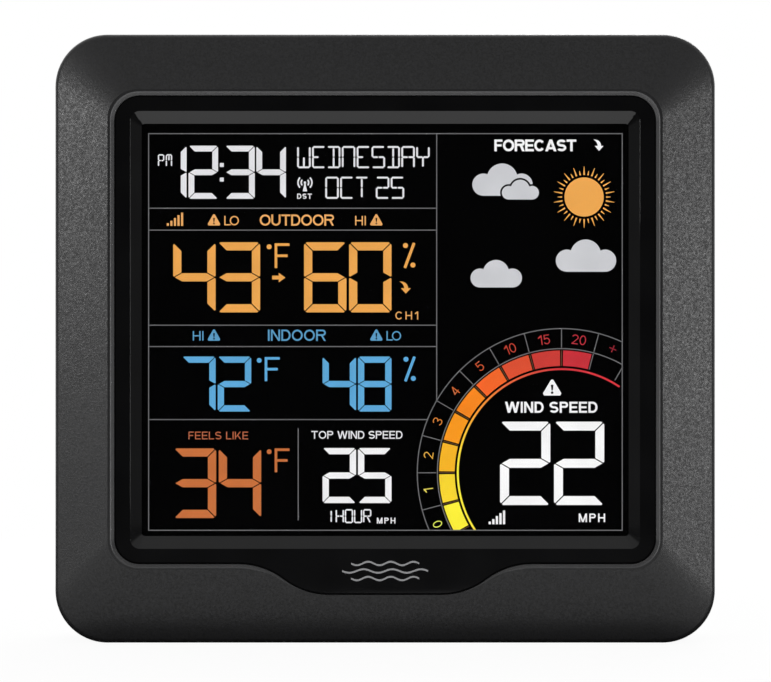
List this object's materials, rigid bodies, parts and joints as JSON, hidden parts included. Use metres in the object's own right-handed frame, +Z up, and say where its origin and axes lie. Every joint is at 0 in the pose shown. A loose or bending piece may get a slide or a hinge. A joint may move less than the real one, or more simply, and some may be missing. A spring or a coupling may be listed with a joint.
{
  "type": "home weather station",
  "caption": "Desktop weather station console with a sloping bezel, gloss display surround, rear keys, battery bay and a fold-out stand.",
  "frame": {"origin": "middle of the base, half way between the front lip and the flat back", "axes": "+Z up, +X to the right of somebody reading the display, +Y from the display to the back"},
  "size_m": [0.185, 0.032, 0.1706],
  "materials": {
    "bezel_plastic": "fine spark-textured black ABS",
    "surround_plastic": "piano black",
    "window": "clear acrylic, gloss",
    "black_tape": "black foam tape",
    "polariser": "dark film",
    "display_glass": "thin glass",
    "colour_film": "printed colour film",
    "white_plastic": "white moulded plastic",
    "light_guide": "clear moulded acrylic",
    "reflector": "silvered film",
    "led_board": "white solder resist",
    "led": "phosphor in clear resin",
    "contact_rubber": "striped conductive rubber",
    "circuit_board": "green solder resist",
    "chip": "moulded epoxy",
    "capacitor": "sleeved aluminium can",
    "bare_steel": "tinned",
    "radio_board": "blue solder resist",
    "copper": "enamelled copper wire",
    "ferrite": "sintered ferrite",
    "buzzer_plastic": "moulded",
    "jack_plastic": "moulded",
    "contact_metal": "nickel plated",
    "switch_metal": "pressed cover",
    "wire_grey": "insulation",
    "cover_plastic": "fine textured black ABS",
    "foot_rubber": "matte",
    "battery_wrap": "printed sleeve",
    "wire_red": "insulation",
    "wire_black": "insulation",
    "key_plastic": "soft-touch",
    "screw_steel": "black zinc"
  },
  "bodies": {
    "console": {"front_bezel": "bezel_plastic", "gloss_surround": "surround_plastic", "display_window": "window", "window_tape": "black_tape", "lcd_front_polariser": "polariser", "lcd_front_glass": "display_glass", "lcd_rear_glass": "display_glass", "lcd_rear_polariser": "polariser", "colour_film": "colour_film", "diffuser_sheet": "white_plastic", "light_guide": "light_guide", "reflector_sheet": "reflector", "led_boards": "led_board", "backlight_leds": "led", "backlight_tray": "white_plastic", "zebra_connector": "contact_rubber", "main_board": "circuit_board", "controller_chip": "chip", "capacitors": "capacitor", "clock_crystal": "bare_steel", "radio_module": "radio_board", "radio_shield": "bare_steel", "radio_antenna": "copper", "time_antenna_rod": "ferrite", "time_antenna_winding": "copper", "buzzer": "buzzer_plastic", "dc_jack": "jack_plastic", "dc_jack_pin": "contact_metal", "tact_switches": "switch_metal", "sensor_board": "circuit_board", "humidity_sensor": "white_plastic", "sensor_wires": "wire_grey", "rear_cover": "cover_plastic", "left_foot_pad": "foot_rubber", "right_foot_pad": "foot_rubber", "battery_1": "battery_wrap", "battery_2": "battery_wrap", "battery_3": "battery_wrap", "battery_springs": "contact_metal", "battery_contacts": "contact_metal", "battery_wire_red": "wire_red", "battery_wire_black": "wire_black", "stand_pin": "bare_steel", "case_screws": "screw_steel", "inner_screws": "screw_steel"},
    "stand": {"stand_leg": "cover_plastic", "stand_foot": "foot_rubber"},
    "battery_lid": {"battery_door": "cover_plastic"},
    "clock_button": {"clock_key": "key_plastic", "clock_switch_plunger": "jack_plastic"},
    "plus_button": {"plus_key": "key_plastic", "plus_switch_plunger": "jack_plastic"},
    "minus_button": {"minus_key": "key_plastic", "minus_switch_plunger": "jack_plastic"},
    "wind_button": {"wind_key": "key_plastic", "wind_switch_plunger": "jack_plastic"},
    "alert_button": {"alert_key": "key_plastic", "alert_switch_plunger": "jack_plastic"},
    "light_button": {"light_key": "key_plastic", "light_switch_plunger": "jack_plastic"}
  },
  "joints": [
    {"name": "stand_hinge", "type": "hinge", "parent": "console", "child": "stand", "pos_m": [0, 0.014, 0.074], "axis": [1, 0, 0], "range_deg": [0, 30]},
    {"name": "battery_door_hinge", "type": "hinge", "parent": "console", "child": "battery_lid", "pos_m": [0, 0.016, 0.0848], "axis": [-1, 0, 0], "range_deg": [0, 80]},
    {"name": "clock_press", "type": "slide", "parent": "console", "child": "clock_button", "axis": [0, -1, 0], "range_m": [0, 0.0006], "stiffness_N_per_m": 400},
    {"name": "plus_press", "type": "slide", "parent": "console", "child": "plus_button", "axis": [0, -1, 0], "range_m": [0, 0.0006], "stiffness_N_per_m": 400},
    {"name": "minus_press", "type": "slide", "parent": "console", "child": "minus_button", "axis": [0, -1, 0], "range_m": [0, 0.0006], "stiffness_N_per_m": 400},
    {"name": "wind_press", "type": "slide", "parent": "console", "child": "wind_button", "axis": [0, -1, 0], "range_m": [0, 0.0006], "stiffness_N_per_m": 400},
    {"name": "alert_press", "type": "slide", "parent": "console", "child": "alert_button", "axis": [0, -1, 0], "range_m": [0, 0.0006], "stiffness_N_per_m": 400},
    {"name": "light_press", "type": "slide", "parent": "console", "child": "light_button", "axis": [0, -1, 0], "range_m": [0, 0.0006], "stiffness_N_per_m": 400}
  ]
}
